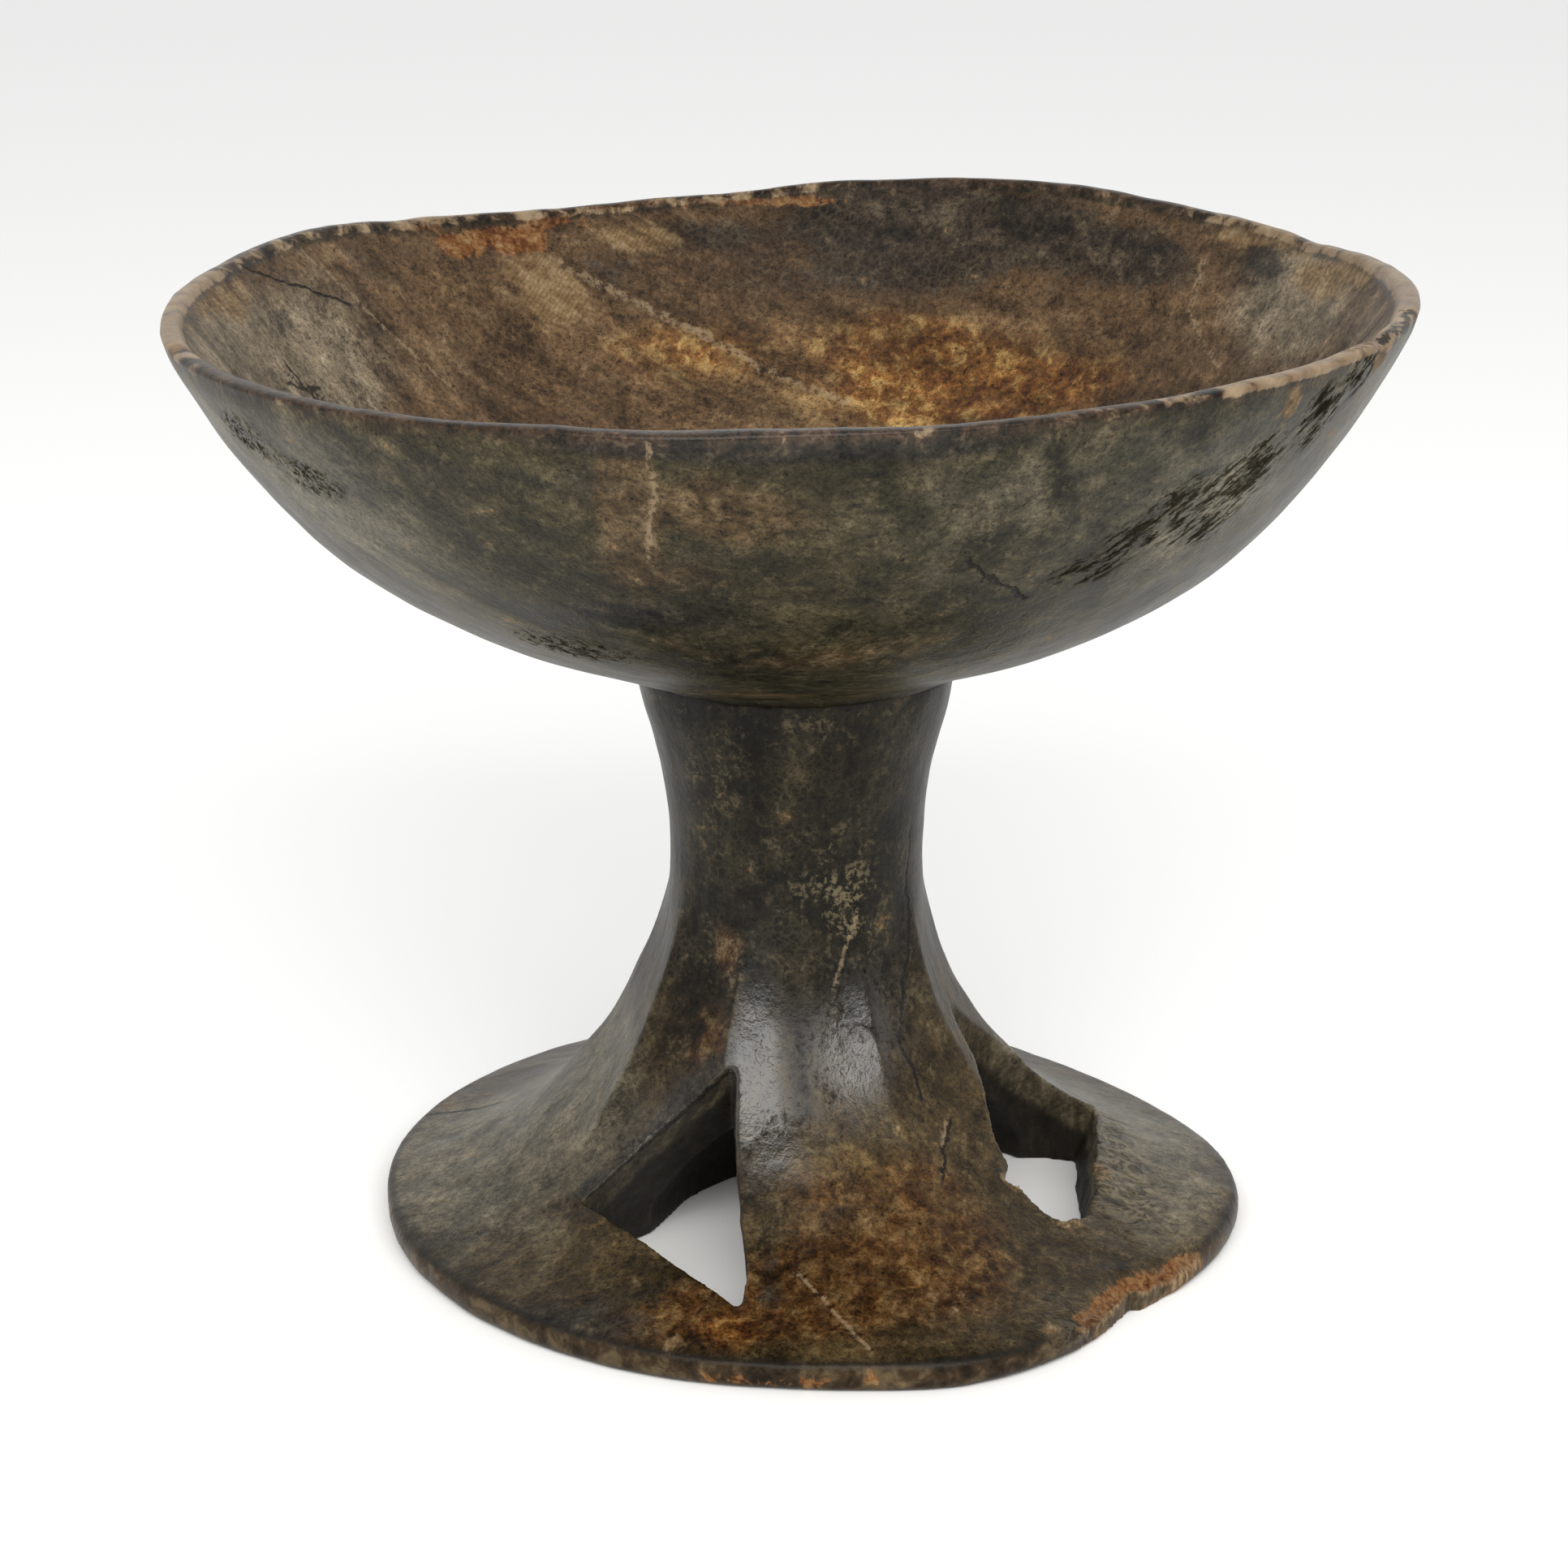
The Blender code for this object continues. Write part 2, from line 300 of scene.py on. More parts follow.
def make_bowl():
    outside = smooth_curve(BOWL_OUTSIDE + LIP[:1], OUTSIDE_STEP)
    lip = smooth_curve(LIP, LIP_STEP)
    inside = smooth_curve(LIP[-1:] + BOWL_INSIDE + ((0.006, BOWL_FLOOR_Z),), INSIDE_STEP)
    under = np.array([(radius, SHOULDER_Z) for radius in UNDER_RADII])
    profile = np.vstack((under, outside, lip[1:], inside[1:]))
    part = np.concatenate((np.zeros(len(under) + len(outside)), np.full(len(lip) - 1, 0.5),
                           np.ones(len(inside) - 1)))
    angle = np.linspace(0.0, 2.0 * math.pi, BOWL_STEPS, endpoint=False)
    radius = profile[:, :1] + 0.0 * angle
    height = profile[:, 1:] + 0.0 * angle
    ax, ay = axis_at(height)
    x = radius * np.cos(angle)
    y = radius * np.sin(angle)
    grid = np.stack((ax + x, ay + y, height + rim_lift(x, angle, height)), -1)
    flat = grid.reshape(-1, 3)
    normals = -grid_normals(grid).reshape(-1, 3)
    inner = np.repeat(part > 0.75, BOWL_STEPS)
    lipness = bell(height, LIP_Z, 0.006).ravel() * (radius.ravel() > 0.175)
    away = smooth_step(radius.ravel(), *JOIN_FADE) * (~inner) + inner * 1.0
    push = away * uneven(flat, BOWL_LUMPS) + lipness * uneven(flat, LIP_LUMPS)
    flat = flat + normals * push[:, None]
    flat[:, 2] += lipness * 0.0004 * noise(flat * (1, 1, 0.2), 0.035, 6)
    flat[:, 2] -= lipness * NOTCH_DEPTH * waves(np.arctan2(flat[:, 1], flat[:, 0]), NOTCHES)
    # flat underside that meets the stem stays level
    under_rows = len(under) * BOWL_STEPS
    flat[:under_rows, 2] = SHOULDER_Z
    grid = flat.reshape(grid.shape)
    mesh = grid_mesh("bowl_wood", grid, (grid[0, :, 0].mean(), grid[0, :, 1].mean(), SHOULDER_Z),
                     grid[-1].mean(axis=0))
    top = bell(height, LIP_TOP_Z, 0.003).ravel() * (radius.ravel() > 0.178)
    set_mask(mesh, "inner", np.append(inner.astype(float), (0.0, 1.0)))
    set_mask(mesh, "lip", np.append(top, (0.0, 0.0)))
    return new_object("bowl_carving", mesh)


# -------- stem and foot
# Rough spots on the foot: (x, y, z, size x, size y, size z, strength), in millimetres
GNAWED = (
    (106, -30, 20, 10, 30, 10, 1), (108, -45, 17, 14, 14, 10, 0.8),
    (106, -2, 22, 10, 16, 10, 0.7), (90, -112, 6, 16, 12, 6, 0.8))
TORN = (
    (99, -36, 23, 4.5, 6, 4, 1), (88, -66, 21, 6, 3, 3, 0.7), (67, -61, 33, 3.5, 3.5, 4, 0.8),
    (79, -121, 8, 5, 4, 3, 0.7))


def facet(angle, radius, height):
    """Flat adzed facets around the flare, with a groove between the two front ones."""
    edges = np.radians(FACET_EDGES)
    turn = np.mod(angle - edges[0], 2.0 * math.pi) + edges[0]
    slot = np.clip(np.searchsorted(edges, turn, side="right") - 1, 0, len(edges) - 2)
    middle = 0.5 * (edges[slot] + edges[slot + 1])
    half = 0.5 * (edges[slot + 1] - edges[slot])
    chord = np.cos(half) / np.maximum(np.cos(turn - middle), 0.5)
    strength = smooth_step(height, 0.03, 0.05) * (1.0 - smooth_step(height, 0.09, 0.122))
    groove = bell(np.degrees(turn), GROOVE_TURN, GROOVE_WIDTH)
    groove = groove * smooth_step(height, 0.044, 0.056) * (1.0 - smooth_step(height, 0.088, 0.104))
    flat = radius * (1.0 + strength * (chord - 0.5 * (1.0 + np.cos(half))))
    return flat - GROOVE_DEPTH * groove


def make_column_body():
    profile = np.vstack((smooth_curve(COLUMN, 0.0022), smooth_curve(FOOT_EDGE, INSIDE_STEP)))
    angle = np.linspace(0.0, 2.0 * math.pi, COLUMN_STEPS, endpoint=False)
    radius = profile[:, :1] + 0.0 * angle
    height = profile[:, 1:] + 0.0 * angle
    turn = angle[None, :] + 0.0 * radius
    radius = facet(turn, radius, height) + foot_change(radius, turn)
    ax, ay = axis_at(height)
    grid = np.stack((ax + radius * np.cos(turn), ay + radius * np.sin(turn), height), -1)
    mesh = grid_mesh("column", grid, (AXIS[3][1], AXIS[3][2], COLUMN[0][1]),
                     (FOOT_X, FOOT_Y, 0.0))
    bm = bmesh.new()
    bm.from_mesh(mesh)
    write_mesh(bm, mesh)
    return new_object("column", mesh)


def loft(name, loops):
    """Closed solid through a stack of loops."""
    grid = np.array(loops, float)
    mesh = bpy.data.meshes.new(name)
    bm = bmesh.new()
    rows = [[bm.verts.new(p) for p in loop] for loop in grid]
    count = len(rows[0])
    for upper, lower in zip(rows, rows[1:]):
        for i in range(count):
            j = (i + 1) % count
            bm.faces.new((upper[i], lower[i], lower[j]))
            bm.faces.new((upper[i], lower[j], upper[j]))
    for end in (rows[0], rows[-1]):
        rim = [bm.edges.get((end[i], end[(i + 1) % count])) for i in range(count)]
        bmesh.ops.triangle_fill(bm, edges=rim, use_beauty=True)
    write_mesh(bm, mesh)
    return new_object(name, mesh)


def window_cutter(name, outline, roughness):
    """Slanting solid from the window's outline down to its corners under the floor."""
    corners = np.array(outline) * MM
    corners = np.column_stack((corners, np.full(len(corners), CUTTER_BOTTOM)))
    points = []
    for here, after in zip(corners, np.roll(corners, -1, axis=0)):
        steps = max(1, int(np.linalg.norm((after - here)[:3]) / WINDOW_STEP))
        points += [here * (1 - t) + after * t for t in np.arange(steps) / steps]
    outer, inner = np.split(np.array(points), 2, axis=1)
    loops = []
    for t in np.linspace(WINDOW_REACH, 0.0, 22):
        loop = inner + (outer - inner) * t
        bump = np.stack([uneven(loop, ((0.7, 0.009, 21 + k), (0.3, 0.004, 31 + k)))
                         for k in range(3)], 1)
        loops.append(loop + bump * roughness)
    return loft(name, loops)


def hollow_cutter():
    loops = []
    heights = np.linspace(HOLLOW[0][0], HOLLOW[-1][0], 20)
    table = np.array(HOLLOW)
    for h in heights:
        length = np.interp(h, table[:, 0], table[:, 1])
        width = np.interp(h, table[:, 0], table[:, 2])
        a = np.linspace(0.0, 2.0 * math.pi, 120, endpoint=False)
        u = length * np.cos(a)
        v = width * np.sin(a)
        c, s = math.cos(HOLLOW_TURN), math.sin(HOLLOW_TURN)
        loop = np.stack((HOLLOW_CENTRE[0] + u * c - v * s, HOLLOW_CENTRE[1] + u * s + v * c,
                         np.full(len(a), h)), 1)
        loop += np.stack([noise(loop, 0.012, 41 + k) for k in range(3)], 1) * 0.001
        loops.append(loop)
    return loft("hollow", loops)


def foot_arc(radius, turn, height):
    """Points at one height around the foot's axis."""
    return np.stack((FOOT_X + radius * np.cos(turn), FOOT_Y + radius * np.sin(turn),
                     np.full(len(turn), height)), 1)


def bite_cutter():
    turn = np.radians(np.linspace(*BITE_RANGE, 97))
    reach = np.interp(np.degrees(turn), BITE[:, 0], BITE[:, 1])
    loops = []
    for h in np.linspace(CUTTER_BOTTOM, BITE_TOP, 19):
        inner = reach + BITE_SLOPE * (h - BITE_LEVEL)
        near = foot_arc(inner, turn, h)
        ragged = 0.0011 * noise(near * (1, 1, 0.25), 0.0055, 51)
        ragged += 0.0006 * noise(near * (1, 1, 0.4), 0.0022, 52)
        near[:, 0] += ragged * np.cos(turn)
        near[:, 1] += ragged * np.sin(turn)
        far = foot_arc(BITE_REACH, turn, h)[::-1]
        loops.append(np.vstack((near, far)))
    return loft("bite", loops)


def outer_gap(points):
    """How far inside the flare's outside a point lies, measured along its radius."""
    curve = np.vstack((smooth_curve(COLUMN, 0.001), smooth_curve(FOOT_EDGE, 0.001)))[::-1]
    angle, distance = polar(points, *axis_at(points[:, 2]))
    radius = np.interp(points[:, 2], curve[:, 1], curve[:, 0])
    radius = facet(angle, radius, points[:, 2]) + foot_change(radius, angle)
    return radius - distance


def make_column():
    body = make_column_body()
    cutters = [hollow_cutter(), window_cutter("w1", LEFT_WINDOW, 0.0006),
               window_cutter("w2", RIGHT_WINDOW, 0.0012), window_cutter("w3", BACK_WINDOW, 0.0008),
               bite_cutter()]
    for cutter in cutters:
        cut = body.modifiers.new(cutter.name, "BOOLEAN")
        cut.operation = "DIFFERENCE"
        cut.solver = "EXACT"
        cut.object = cutter
    remesh = body.modifiers.new("even", "REMESH")
    remesh.mode = "VOXEL"
    remesh.voxel_size = VOXEL
    graph = bpy.context.evaluated_depsgraph_get()
    mesh = bpy.data.meshes.new_from_object(body.evaluated_get(graph))
    mesh.name = "column_wood"
    for obj in cutters + [body]:
        bpy.data.objects.remove(obj, do_unlink=True)
    points = vectors(mesh.vertices, "co")
    normals = vectors(mesh.vertex_normals, "vector")
    gap = outer_gap(points)
    steep = np.clip(1.0 - np.abs(normals[:, 2]), 0.15, 1.0)
    cutface = smooth_step(gap * steep, *CUT_FADE)
    push = uneven(points, COLUMN_LUMPS)
    push += cutface * 0.0003 * noise(points, 0.004, 10)
    under = smooth_step(-normals[:, 2], 0.9, 0.98) * (points[:, 2] < 0.002)
    top = points[:, 2] > STEM_TOP_Z
    push = push * (1.0 - under) * (~top)
    push += 0.0005 * blobs(points, GNAWED) * noise(points * (0.2, 1, 1), 0.0028, 11)
    push += blobs(points, TORN) * (0.0009 + 0.0008 * noise(points, 0.0025, 12))
    points = points + normals * push[:, None]
    z = points[:, 2]
    # worn slope along the top corner beside the bite
    turn, reach = polar(points, FOOT_X, FOOT_Y)
    turn = np.degrees(turn)
    left = np.interp(turn, BITE[:, 0], BITE[:, 1])
    worn = bell(turn, BITE_TURN - 1.0, BITE_SPREAD, 6)
    worn = worn * smooth_step(reach - left, -0.0075, -0.0005)
    worn = worn * smooth_step(z, 0.003, 0.008) * (z < 0.02)
    z -= worn * (0.003 + 0.0013 * noise(points, 0.006, 13))
    np.maximum(z, 0.0, out=z)
    mesh.vertices.foreach_set("co", points.ravel())
    mesh.update()
    set_mask(mesh, "cutface", cutface)
    set_mask(mesh, "rim", 4.0 * cutface * (1.0 - cutface) * (z > 0.012))
    # painted shade of the hollow, well below the outside surface
    curve = smooth_curve(COLUMN, 0.001)
    curve = curve[curve[:, 1] < 0.12]
    above = np.maximum(np.interp(reach, curve[:, 0], curve[:, 1]) - z, 0.0)
    gap = np.maximum(gap, 0.0)
    buried = gap * above / np.maximum(np.hypot(gap, above), 1e-6)
    buried += 0.0016 * noise(points, 0.008, 14)
    set_mask(mesh, "hollow_shade", smooth_step(buried, *DEEP_FADE) * cutface)
    return mesh


def split_at_seam(mesh, name, keep_above):
    bm = bmesh.new()
    bm.from_mesh(mesh)
    found = bmesh.ops.bisect_plane(bm, geom=bm.verts[:] + bm.edges[:] + bm.faces[:],
                                   plane_co=(0, 0, SEAM_Z), plane_no=(0, 0, 1), dist=1e-7,
                                   clear_inner=keep_above, clear_outer=not keep_above)
    rim = [e for e in found["geom_cut"] if isinstance(e, bmesh.types.BMEdge)]
    bmesh.ops.triangle_fill(bm, edges=rim, use_beauty=True)
    for edge in rim:
        edge.smooth = False
    part = bpy.data.meshes.new(name)
    write_mesh(bm, part)
    return new_object(name, part)


bowl = make_bowl()
column = make_column()
stem = split_at_seam(column, "stem_carving", True)
foot = split_at_seam(column, "foot_carving", False)

for piece, node in ((bowl, "bowl"), (stem, "stem"), (foot, "foot")):
    for polygon in piece.data.polygons:
        polygon.use_smooth = True
    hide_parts(node)
    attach(piece, "root")


# -------- painted areas
# Each area is a sum of lumps (x, y, z, size x, size y, size z, strength), in millimetres
AREAS = {
    "warm": (
        (-42, -172, 276, 8, 20, 26, 1.7), (-20, -176, 276, 12, 20, 10, 1.2),
        (-4, -170, 270, 12, 20, 10, 0.6), (-25, -160, 252, 16, 20, 8, 0.5),
        (2, -130, 224, 45, 40, 10, 0.5), (10, -90, 198, 45, 40, 8, 0.5),
        (-22, -120, 13, 34, 18, 10, 0.9), (12, -108, 20, 34, 22, 12, 1),
        (50, -95, 22, 30, 26, 16, 0.7), (7, -82, 40, 20, 15, 10, 0.5),
        (39, -80, 35, 20, 18, 12, 0.6), (-26, -50, 72, 10, 12, 18, 0.7),
        (-18, -40, 100, 8, 12, 12, 0.5), (-103, 45, 10, 12, 20, 6, 0.6)),
    "golden": (
        (20, 138, 243, 65, 40, 17, 0.32), (64, 122, 242, 34, 30, 14, 1.4),
        (52, 128, 246, 20, 20, 10, 0.6), (36, 147, 256, 20, 20, 8, 0.6),
        (-37, 145, 252, 30, 20, 10, 0.5), (105, 100, 250, 18, 18, 10, 0.5),
        (-17, -125, 12, 12, 10, 6, 0.9), (15, -78, 42, 24, 14, 8, 0.4),
        (0, 60, 212, 110, 80, 20, 0.35)),
    # painted sheen: grey on the sides, where the surface reflects the pale room
    "grey_sheen": (
        (-152, 35, 262, 26, 60, 30, 1.5), (165, 55, 288, 12, 30, 10, 1.6),
        (-165, -40, 280, 20, 60, 30, 1), (160, 60, 280, 22, 40, 20, 0.8),
        (165, -40, 285, 25, 50, 20, 0.8), (120, -125, 262, 35, 30, 30, 1),
        (-125, -115, 262, 40, 50, 30, 0.9), (60, -165, 275, 50, 30, 30, 0.5),
        (-105, -10, 20, 40, 70, 20, 1.3), (-60, -15, 50, 18, 45, 30, 1.2),
        (115, -5, 18, 30, 60, 20, 1.3), (80, 20, 40, 30, 40, 20, 1.2),
        (0, 110, 20, 70, 40, 20, 0.7)),
    "pale": (
        (-90, 143, 280, 10, 8, 6, 1.3), (-80, 141, 270, 11, 10, 9, 2.3),
        (-55, 165, 288, 12, 8, 5, 0.95), (-46, 166, 284, 10, 8, 6, 0.75),
        (168, 50, 292, 8, 22, 5, 1.2), (174, 30, 299, 8, 26, 5, 1),
        (156, 85, 299, 12, 22, 4, 0.9), (146, 102, 299, 8, 8, 5, 1),
        (-171, 30, 288, 6, 14, 5, 1.1), (-178, 10, 293, 6, 40, 5, 0.7),
        (-170, -60, 290, 14, 30, 10, 0.6), (136, -128, 291, 3, 8, 9, 1.3),
        (165, -88, 296, 4, 6, 6, 1.3), (79, -121, 8, 5, 4, 4, 1.3), (99, -36, 23, 5, 6, 4, 1.3),
        (70, -62, 31, 4, 3, 4, 1.1), (88, -67, 21, 7, 4, 4, 0.9), (45, -26, 184, 14, 14, 3, 0.7),
        (-42, -26, 184, 14, 14, 3, 0.7), (-34, -129, 10, 4, 4, 6, 0.9),
        (45, -112, 14, 12, 8, 5, 0.55)),
    "raw": (
        (-112, 135, 288.5, 10, 6, 5, 1.3), (-101, 144, 290.5, 8, 6, 4.5, 1.4),
        (-90, 150, 288.5, 9, 6, 5, 1.4), (-76, 160, 293, 12, 6, 3, 1.1),
        (-120, 132, 296, 18, 10, 1.5, 0.9), (-55, 169, 296.5, 20, 6, 2, 0.9),
        (-15, 178, 297, 35, 6, 2.2, 0.9), (-111, 50, 8, 8, 14, 4, 0.8),
        (-10, -141, 3, 30, 6, 3, 0.7)),
    "dark": (
        (37, 172, 293, 34, 14, 12, 1), (70, 158, 290, 55, 26, 13, 1.2),
        (120, 122, 286, 26, 26, 10, 1), (20, 160, 272, 60, 30, 8, 0.5),
        (-30, 168, 286, 30, 20, 6, 0.6), (155, 82, 292, 10, 20, 7, 0.8),
        (-110, 143, 297.5, 14, 6, 2, 1.1), (-134, 112, 288, 16, 20, 8, 0.5),
        (-62, 157, 277, 16, 10, 6, 0.5), (-35, -148, 239, 20, 20, 5, 0.9),
        (-60, -135, 236, 20, 20, 6, 0.6), (-53, -174, 282, 12, 10, 8, 0.6),
        (40, -150, 250, 30, 20, 12, 0.4), (-66, -116, 10, 30, 20, 6, 0.7),
        (-6, -112, 22, 6, 30, 14, 0.7), (-10, -36, 112, 30, 20, 18, 0.4),
        (-35, -55, 60, 10, 10, 10, 0.4), (0, -187, 292.5, 120, 14, 3.5, 1),
        # next two lumps: painted shade in the groove between the two front facets and in the crease
        # beside the left window
        (4, -58, 68, 3.5, 20, 22, 1.2), (-17, -60, 66, 3, 14, 18, 1),
        (-24, -57, 62, 8, 6, 8, 1.2), (-37, -59, 51, 8, 6, 7, 1.2), (-48, -61, 40, 7, 6, 6, 1.2),
        (-60, -65, 30, 8, 6, 6, 1.2), (96, -47, 22, 3, 5, 4, 1.3),
        (66, -61, 33, 2.2, 2.5, 2.5, 1.2)),
    "pitted": (
        (81, -138, 249, 12, 10, 5, 0.7), (94, -138, 258, 10, 10, 5, 0.9),
        (107, -134, 268, 10, 10, 6, 1.1), (113, -119, 255, 10, 12, 6, 0.9),
        (124, -121, 268, 8, 12, 8, 1.2), (130, -121, 277, 6, 10, 6, 0.8),
        (146, -108, 284, 6, 12, 10, 1), (158, -98, 296, 5, 10, 8, 0.9),
        (-152, -100, 277, 12, 12, 6, 0.55), (-132, -116, 268, 14, 14, 6, 0.5),
        (-60, -120, 221, 20, 14, 6, 0.6), (60, 150, 240, 30, 30, 10, 0.5)),
    "tan": (
        (14, -42, 125, 14, 10, 14, 0.9), (20, -40, 112, 8, 10, 10, 0.9),
        (7, -52, 176, 22, 12, 6, 0.5), (-25, -39, 155, 10, 12, 14, 0.5),
        (-18, -45, 96, 10, 10, 10, 0.7), (30, 30, 140, 20, 16, 24, 0.8),
        (-20, 38, 120, 20, 16, 16, 0.7), (60, -160, 272, 20, 20, 10, 0.3)),
    "gloss": (
        (-10, -58, 68, 7, 30, 27, 1.5), (21, -56, 74, 11, 30, 16, 1.6),
        (-40, -58, 50, 30, 10, 30, 0.5), (-4, -72, 48, 10, 12, 12, 0.8),
        (0, -187, 296, 120, 10, 4, 0.25)),
}
OUTSIDE_ONLY = ("warm", "pitted", "tan", "gloss")

# Cracks and pale scratches: (half width, points along the line), in millimetres
BOWL_CRACKS = (
    (0.7, ((-170.7, 52.7, 298.7), (-162.4, 64.5, 290), (-153.5, 74.9, 284.1), (-144.2, 84, 278.4))),
    (0.9, ((-156, 26, 265), (-154, 31, 262), (-149, 40, 260))),
    (0.8, ((-156, 33, 269), (-153, 33, 262), (-147, 34, 256))),
    (1.8, ((179, -50, 301), (174, -68, 301.2), (166, -85, 300.5))),
    (1, ((46.6, -159.9, 257), (54.8, -151.1, 249.7), (63.1, -142.2, 243.2))),
)
BOWL_SCRATCHES = (
    (2.2, ((-78.9, 149.9, 279.9), (-59.5, 151, 269.8), (-39.8, 149.3, 260.1), (-20, 144.9, 251),
        (-0.3, 137.6, 242.6), (19.3, 128.4, 236))),
    (1.2, ((-156.8, 84.1, 295.7), (-144.5, 87.7, 281.7), (-132, 90.4, 267.7), (-121.6, 91.2, 258),
        (-111.2, 91.4, 248.3))),
    (1.3, ((137.4, 104.2, 289.5), (132.9, 95.2, 274.8), (135.7, 81.6, 266.7),
        (139.5, 66.5, 261.7))),
    (1.2, ((-35.7, -183.3, 294.2), (-34.7, -179.1, 281.6), (-36.9, -170.7, 268.6),
        (-36.4, -164.1, 258.2))),
)
BODY_CRACKS = (
    (1.1, ((38.2, -23.6, 131.4), (37.3, -25.1, 118.4), (38.4, -25.3, 104.9), (37.3, -31.2, 93.5),
        (35.6, -46.7, 69.7), (40.2, -47.8, 63.3), (41.3, -53.8, 56.3))),
    (0.9, ((51.5, -53.8, 48), (48.9, -62.4, 43.7), (47.6, -72.6, 37.4))),
    (1, ((-4, 40, 150), (-6, 39, 125), (-8, 41, 100))),
    (1, ((-99, 30, 22), (-112, 34, 15.5), (-125, 38, 10.5))),
)
BODY_SCRATCHES = (
    (1.1, ((22.2, -39.5, 113), (18.5, -43, 103.6), (14.7, -47.9, 89.3))),
    (0.9, ((3.2, -106.4, 21.1), (10.5, -114.3, 17), (16.4, -123.4, 13.7), (23.4, -134.2, 10))),
    (1.8, ((50.5, -54.5, 48), (48.2, -62.4, 43.7))),
)


def line_field(points, normals, table):
    """Signed distance from the nearest line in half widths, and 1 beside it, 0 past its ends."""
    best = np.full(len(points), 1.0e9)
    field = np.full(len(points), 4.0)
    here = np.zeros(len(points))
    for width, path in table:
        path = np.array(path) * MM
        for start, end in zip(path, path[1:]):
            length = np.linalg.norm(end - start)
            run = (end - start) / length
            off = points - start
            along = off @ run
            past = np.maximum(np.maximum(-along, along - length), 0.0)
            gap = np.linalg.norm(off - np.clip(along, 0.0, length)[:, None] * run, axis=1)
            side = np.cross(run, normals)
            side = side / np.maximum(np.linalg.norm(side, axis=1, keepdims=True), 1e-9)
            nearer = gap < best
            best = np.where(nearer, gap, best)
            offset = np.sum(off * side, axis=1) / (width * MM)
            field = np.where(nearer, np.clip(offset, -6.0, 6.0), field)
            here = np.where(nearer, smooth_step(-past, -0.003, 0.0) * (gap < 0.012), here)
    return field, here


# Bare wood along the lip: (direction in degrees, width in degrees, strength)
LIP_WEAR = (
    (-38, 20, 0.95), (-5, 22, 0.8), (28, 16, 0.55), (180, 26, 0.6), (-165, 12, 0.3),
    (128, 18, 0.4), (95, 14, 0.35))


def paint_foot(mesh, points, normals):
    """Masks that only the stem and the foot have."""
    angle, reach = polar(points, FOOT_X, FOOT_Y)
    turn = np.degrees(angle)
    height = points[:, 2]
    upright = np.abs(normals[:, 2])
    past = reach - FOOT_RADIUS - waves(angle, FOOT_WAVES)
    bitten = bell(turn, BITE_TURN, BITE_SPREAD, 6)
    left = np.interp(turn, BITE[:, 0], BITE[:, 1])
    raw_edge = bitten * smooth_step(reach - left, -0.007, -0.0025) * (height < 0.014)
    near = smooth_step(past, -0.006, -0.001) * (height < BORDER_Z)
    corner = bell(past, -0.001, 0.0016) * bell(height, 0.0088, 0.0014)
    set_mask(mesh, "side", near * smooth_step(0.75 - upright, 0.0, 0.25))
    set_mask(mesh, "corner", corner * (1.0 - bitten))
    set_mask(mesh, "rawedge", raw_edge)
    set_mask(mesh, "torn", raw_edge * smooth_step(0.8 - upright, 0.0, 0.3))
    set_mask(mesh, "gnawed", blobs(points, GNAWED))
    set_mask(mesh, "flare", 1.0 - smooth_step(height, 0.045, 0.11))


for piece in (bowl, stem, foot):
    mesh = piece.data
    points = vectors(mesh.vertices, "co")
    normals = vectors(mesh.vertex_normals, "vector")
    distance = np.hypot(points[:, 0], points[:, 1])
    outside = 1.0
    if piece is bowl:
        outside = 1.0 - get_mask(mesh, "inner")
        set_mask(mesh, "rawedge", np.zeros(len(points)))
        wear = 0.2 + waves(np.arctan2(points[:, 1], points[:, 0]), LIP_WEAR)
        set_mask(mesh, "wear", wear * (distance > 0.15))
    else:
        paint_foot(mesh, points, normals)
    for area, table in AREAS.items():
        value = blobs(points, table)
        set_mask(mesh, area, value * outside if area in OUTSIDE_ONLY else value)
    for label, table in (("crack", BOWL_CRACKS if piece is bowl else BODY_CRACKS),
                         ("scratch", BOWL_SCRATCHES if piece is bowl else BODY_SCRATCHES)):
        field, here = line_field(points, normals, table)
        layer = mesh.attributes.new(label, "FLOAT", "POINT")
        layer.data.foreach_set("value", field.astype(np.float32))
        set_mask(mesh, label + "_here", here)
    # painted shade in a ring where the bowl meets the stem
    ring = bell(points[:, 2], SHOULDER_Z, JOIN_BAND)
    set_mask(mesh, "join_shade", ring * (distance < JOIN_RADIUS))


# -------- materials
# Unit vectors along, across and out of the tool marks and the pits
TOOL_RUN = (0.899, -0.214, -0.383)
TOOL_SIDE = (-0.232, -0.973, 0.0)
TOOL_UP = (-0.373, 0.089, -0.924)
PIT_RUN = (0.815, 0.229, 0.534)
PIT_SIDE = (-0.27, 0.963, 0.0)
PIT_UP = (-0.514, -0.144, 0.847)


